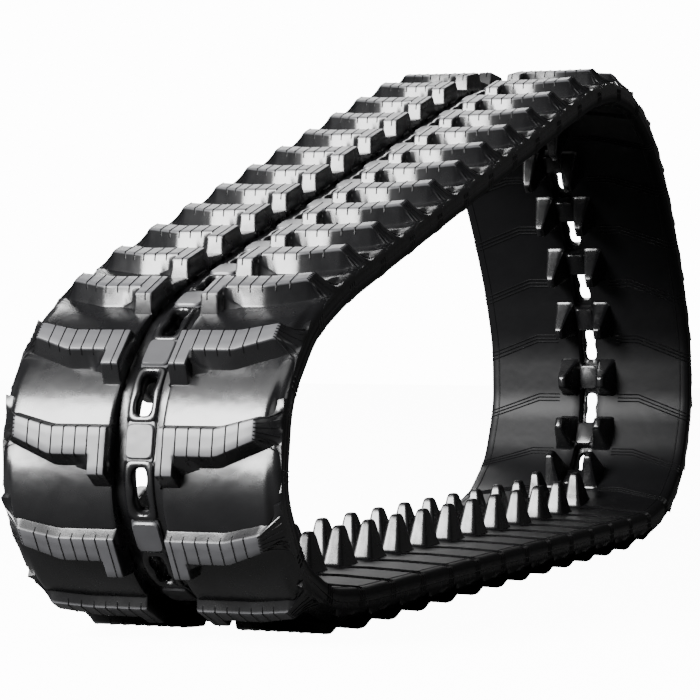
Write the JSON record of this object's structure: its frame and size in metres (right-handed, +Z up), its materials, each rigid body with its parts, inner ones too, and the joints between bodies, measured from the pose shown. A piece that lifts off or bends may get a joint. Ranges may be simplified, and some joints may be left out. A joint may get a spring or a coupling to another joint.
{
  "type": "rubber track",
  "caption": "Endless rubber track with hooked lug pairs, central sprocket windows and inner guide horns, over steel cores and cords.",
  "frame": {"origin": "centre of the track's footprint on the ground, under the middle of its length and width", "axes": "X along the belt with the tight front bend at -X, Y across the belt, Z up from the ground"},
  "size_m": [1.2556, 0.23, 0.4997],
  "materials": {
    "moulded_rubber": "glossy moulded",
    "forged_steel": "forged, shot-blasted",
    "steel_cord": "brass-coated wire"
  },
  "bodies": {
    "ground_run": {"ground_run_rubber": "moulded_rubber", "ground_run_cores": "forged_steel", "steel_cords_left": "steel_cord", "steel_cords_right": "steel_cord"},
    "link_01": {"link_01_rubber": "moulded_rubber", "link_01_core": "forged_steel"},
    "link_02": {"link_02_rubber": "moulded_rubber", "link_02_core": "forged_steel"},
    "link_03": {"link_03_rubber": "moulded_rubber", "link_03_core": "forged_steel"},
    "link_04": {"link_04_rubber": "moulded_rubber", "link_04_core": "forged_steel"},
    "link_05": {"link_05_rubber": "moulded_rubber", "link_05_core": "forged_steel"},
    "link_06": {"link_06_rubber": "moulded_rubber", "link_06_core": "forged_steel"},
    "link_07": {"link_07_rubber": "moulded_rubber", "link_07_core": "forged_steel"},
    "link_08": {"link_08_rubber": "moulded_rubber", "link_08_core": "forged_steel"},
    "link_09": {"link_09_rubber": "moulded_rubber", "link_09_core": "forged_steel"},
    "link_10": {"link_10_rubber": "moulded_rubber", "link_10_core": "forged_steel"},
    "link_11": {"link_11_rubber": "moulded_rubber", "link_11_core": "forged_steel"},
    "link_12": {"link_12_rubber": "moulded_rubber", "link_12_core": "forged_steel"},
    "link_13": {"link_13_rubber": "moulded_rubber", "link_13_core": "forged_steel"},
    "link_14": {"link_14_rubber": "moulded_rubber", "link_14_core": "forged_steel"},
    "link_15": {"link_15_rubber": "moulded_rubber", "link_15_core": "forged_steel"},
    "link_16": {"link_16_rubber": "moulded_rubber", "link_16_core": "forged_steel"},
    "link_17": {"link_17_rubber": "moulded_rubber", "link_17_core": "forged_steel"},
    "link_18": {"link_18_rubber": "moulded_rubber", "link_18_core": "forged_steel"},
    "link_19": {"link_19_rubber": "moulded_rubber", "link_19_core": "forged_steel"},
    "link_20": {"link_20_rubber": "moulded_rubber", "link_20_core": "forged_steel"},
    "link_21": {"link_21_rubber": "moulded_rubber", "link_21_core": "forged_steel"},
    "link_22": {"link_22_rubber": "moulded_rubber", "link_22_core": "forged_steel"},
    "link_23": {"link_23_rubber": "moulded_rubber", "link_23_core": "forged_steel"},
    "link_24": {"link_24_rubber": "moulded_rubber", "link_24_core": "forged_steel"},
    "link_25": {"link_25_rubber": "moulded_rubber", "link_25_core": "forged_steel"},
    "link_26": {"link_26_rubber": "moulded_rubber", "link_26_core": "forged_steel"},
    "link_27": {"link_27_rubber": "moulded_rubber", "link_27_core": "forged_steel"}
  },
  "joints": [
    {"name": "seam_01_flex", "type": "hinge", "parent": "ground_run", "child": "link_01", "pos_m": [-0.42705, 0, 0.026], "axis": [0, 1, 0], "range_deg": [-5.57, 5.57], "stiffness_Nm_per_rad": 680, "springref_deg": -0.43},
    {"name": "seam_02_flex", "type": "hinge", "parent": "link_01", "child": "link_02", "pos_m": [-0.49884, 0, 0.03146], "axis": [0, 1, 0], "range_deg": [-2.96, 2.96], "stiffness_Nm_per_rad": 740, "springref_deg": -0.9},
    {"name": "seam_03_flex", "type": "hinge", "parent": "link_02", "child": "link_03", "pos_m": [-0.56509, 0, 0.05967], "axis": [0, 1, 0], "range_deg": [-2.47, 2.47], "stiffness_Nm_per_rad": 790, "springref_deg": -1.24},
    {"name": "seam_04_flex", "type": "hinge", "parent": "link_03", "child": "link_04", "pos_m": [-0.60371, 0, 0.12044], "axis": [0, 1, 0], "range_deg": [-6.28, 6.28], "stiffness_Nm_per_rad": 920, "springref_deg": -1.25},
    {"name": "seam_05_flex", "type": "hinge", "parent": "link_04", "child": "link_05", "pos_m": [-0.59173, 0, 0.19143], "axis": [0, 1, 0], "range_deg": [-5.5, 5.5], "stiffness_Nm_per_rad": 880, "springref_deg": -1.25, "deforming": ["steel_cords_left", "steel_cords_right"]},
    {"name": "seam_06_flex", "type": "hinge", "parent": "link_05", "child": "link_06", "pos_m": [-0.53977, 0, 0.24127], "axis": [0, 1, 0], "range_deg": [-2.77, 2.77], "stiffness_Nm_per_rad": 740, "springref_deg": -1.24},
    {"name": "seam_07_flex", "type": "hinge", "parent": "link_06", "child": "link_07", "pos_m": [-0.47308, 0, 0.26842], "axis": [0, 1, 0], "range_deg": [-2.46, 2.46], "stiffness_Nm_per_rad": 570, "springref_deg": -1.24},
    {"name": "seam_08_flex", "type": "hinge", "parent": "link_07", "child": "link_08", "pos_m": [-0.40382, 0, 0.28808], "axis": [0, 1, 0], "range_deg": [-0.53, 0.53], "stiffness_Nm_per_rad": 420, "springref_deg": -1.24},
    {"name": "seam_09_flex", "type": "hinge", "parent": "link_08", "child": "link_09", "pos_m": [-0.33455, 0, 0.30773], "axis": [0, 1, 0], "range_deg": [-0.53, 0.53], "stiffness_Nm_per_rad": 290, "springref_deg": -1.25},
    {"name": "seam_10_flex", "type": "hinge", "parent": "link_09", "child": "link_10", "pos_m": [-0.26529, 0, 0.32739], "axis": [0, 1, 0], "range_deg": [-0.53, 0.53], "stiffness_Nm_per_rad": 190, "springref_deg": -1.22},
    {"name": "seam_11_flex", "type": "hinge", "parent": "link_10", "child": "link_11", "pos_m": [-0.19603, 0, 0.34705], "axis": [0, 1, 0], "range_deg": [-0.53, 0.53], "stiffness_Nm_per_rad": 110, "springref_deg": -1.19},
    {"name": "seam_12_flex", "type": "hinge", "parent": "link_11", "child": "link_12", "pos_m": [-0.12676, 0, 0.36671], "axis": [0, 1, 0], "range_deg": [-0.53, 0.53], "stiffness_Nm_per_rad": 47, "springref_deg": -1.23},
    {"name": "seam_13_flex", "type": "hinge", "parent": "link_12", "child": "link_13", "pos_m": [-0.0575, 0, 0.38636], "axis": [0, 1, 0], "range_deg": [-0.53, 0.53], "stiffness_Nm_per_rad": 12, "springref_deg": -1.21},
    {"name": "seam_15_flex", "type": "hinge", "parent": "link_15", "child": "link_14", "pos_m": [0.08103, 0, 0.42568], "axis": [0, -1, 0], "range_deg": [-0.53, 0.53], "stiffness_Nm_per_rad": 12, "springref_deg": -1.17},
    {"name": "seam_16_flex", "type": "hinge", "parent": "link_16", "child": "link_15", "pos_m": [0.1503, 0, 0.44534], "axis": [0, -1, 0], "range_deg": [-0.53, 0.53], "stiffness_Nm_per_rad": 46, "springref_deg": -1.24},
    {"name": "seam_17_flex", "type": "hinge", "parent": "link_17", "child": "link_16", "pos_m": [0.21987, 0, 0.46387], "axis": [0, -1, 0], "range_deg": [-0.53, 0.53], "stiffness_Nm_per_rad": 110, "springref_deg": -1.17},
    {"name": "seam_18_flex", "type": "hinge", "parent": "link_18", "child": "link_17", "pos_m": [0.29107, 0, 0.47459], "axis": [0, -1, 0], "range_deg": [-2.86, 2.86], "stiffness_Nm_per_rad": 190, "springref_deg": -1.23},
    {"name": "seam_19_flex", "type": "hinge", "parent": "link_19", "child": "link_18", "pos_m": [0.3628, 0, 0.46839], "axis": [0, -1, 0], "range_deg": [-2.38, 2.38], "stiffness_Nm_per_rad": 300, "springref_deg": -1.23},
    {"name": "seam_20_flex", "type": "hinge", "parent": "link_20", "child": "link_19", "pos_m": [0.42912, 0, 0.44035], "axis": [0, -1, 0], "range_deg": [-0.53, 0.53], "stiffness_Nm_per_rad": 420, "springref_deg": -1.24},
    {"name": "seam_21_flex", "type": "hinge", "parent": "link_21", "child": "link_20", "pos_m": [0.48431, 0, 0.39411], "axis": [0, -1, 0], "range_deg": [-2.98, 2.98], "stiffness_Nm_per_rad": 540, "springref_deg": -1.24},
    {"name": "seam_22_flex", "type": "hinge", "parent": "link_22", "child": "link_21", "pos_m": [0.52942, 0, 0.338], "axis": [0, -1, 0], "range_deg": [-2.64, 2.64], "stiffness_Nm_per_rad": 650, "springref_deg": -1.25},
    {"name": "seam_23_flex", "type": "hinge", "parent": "link_23", "child": "link_22", "pos_m": [0.56947, 0, 0.27816], "axis": [0, -1, 0], "range_deg": [-1.7, 1.7], "stiffness_Nm_per_rad": 770, "springref_deg": -1.24},
    {"name": "seam_24_flex", "type": "hinge", "parent": "link_24", "child": "link_23", "pos_m": [0.59931, 0, 0.21264], "axis": [0, -1, 0], "range_deg": [-1.8, 1.8], "stiffness_Nm_per_rad": 860, "springref_deg": -1.25},
    {"name": "seam_25_flex", "type": "hinge", "parent": "link_25", "child": "link_24", "pos_m": [0.60287, 0, 0.14072], "axis": [0, -1, 0], "range_deg": [-2.6, 2.6], "stiffness_Nm_per_rad": 880, "springref_deg": -1.24},
    {"name": "seam_26_flex", "type": "hinge", "parent": "link_26", "child": "link_25", "pos_m": [0.56925, 0, 0.07705], "axis": [0, -1, 0], "range_deg": [-3.08, 3.08], "stiffness_Nm_per_rad": 950, "springref_deg": -0.98},
    {"name": "seam_27_flex", "type": "hinge", "parent": "link_27", "child": "link_26", "pos_m": [0.50787, 0, 0.03942], "axis": [0, -1, 0], "range_deg": [-1.29, 1.29], "stiffness_Nm_per_rad": 970, "springref_deg": -0.63},
    {"name": "seam_28_flex", "type": "hinge", "parent": "ground_run", "child": "link_27", "pos_m": [0.43694, 0, 0.02702], "axis": [0, -1, 0], "range_deg": [-6.83, 6.83], "stiffness_Nm_per_rad": 950, "springref_deg": -0.22}
  ],
  "couplings": [
    {"joint": "seam_01_flex", "follows": "seam_05_flex", "ratio": -0.67018},
    {"joint": "seam_02_flex", "follows": "seam_05_flex", "ratio": -0.35628},
    {"joint": "seam_03_flex", "follows": "seam_05_flex", "ratio": 0.29672},
    {"joint": "seam_04_flex", "follows": "seam_05_flex", "ratio": 0.75492},
    {"joint": "seam_06_flex", "follows": "seam_05_flex", "ratio": -0.33368},
    {"joint": "seam_07_flex", "follows": "seam_05_flex", "ratio": -0.29624},
    {"joint": "seam_08_flex", "follows": "seam_05_flex", "ratio": -0.06319},
    {"joint": "seam_09_flex", "follows": "seam_05_flex", "ratio": -0.06319},
    {"joint": "seam_10_flex", "follows": "seam_05_flex", "ratio": -0.06319},
    {"joint": "seam_11_flex", "follows": "seam_05_flex", "ratio": -0.06319},
    {"joint": "seam_12_flex", "follows": "seam_05_flex", "ratio": -0.06319},
    {"joint": "seam_13_flex", "follows": "seam_05_flex", "ratio": -0.06319},
    {"joint": "seam_15_flex", "follows": "seam_05_flex", "ratio": -0.06319},
    {"joint": "seam_16_flex", "follows": "seam_05_flex", "ratio": -0.06319},
    {"joint": "seam_17_flex", "follows": "seam_05_flex", "ratio": -0.06319},
    {"joint": "seam_18_flex", "follows": "seam_05_flex", "ratio": -0.34362},
    {"joint": "seam_19_flex", "follows": "seam_05_flex", "ratio": -0.2862},
    {"joint": "seam_20_flex", "follows": "seam_05_flex", "ratio": 0.06319},
    {"joint": "seam_21_flex", "follows": "seam_05_flex", "ratio": 0.35833},
    {"joint": "seam_22_flex", "follows": "seam_05_flex", "ratio": 0.3177},
    {"joint": "seam_23_flex", "follows": "seam_05_flex", "ratio": 0.20443},
    {"joint": "seam_24_flex", "follows": "seam_05_flex", "ratio": 0.21653},
    {"joint": "seam_25_flex", "follows": "seam_05_flex", "ratio": 0.31282},
    {"joint": "seam_26_flex", "follows": "seam_05_flex", "ratio": 0.37063},
    {"joint": "seam_27_flex", "follows": "seam_05_flex", "ratio": -0.15541},
    {"joint": "seam_28_flex", "follows": "seam_05_flex", "ratio": -0.82178}
  ]
}
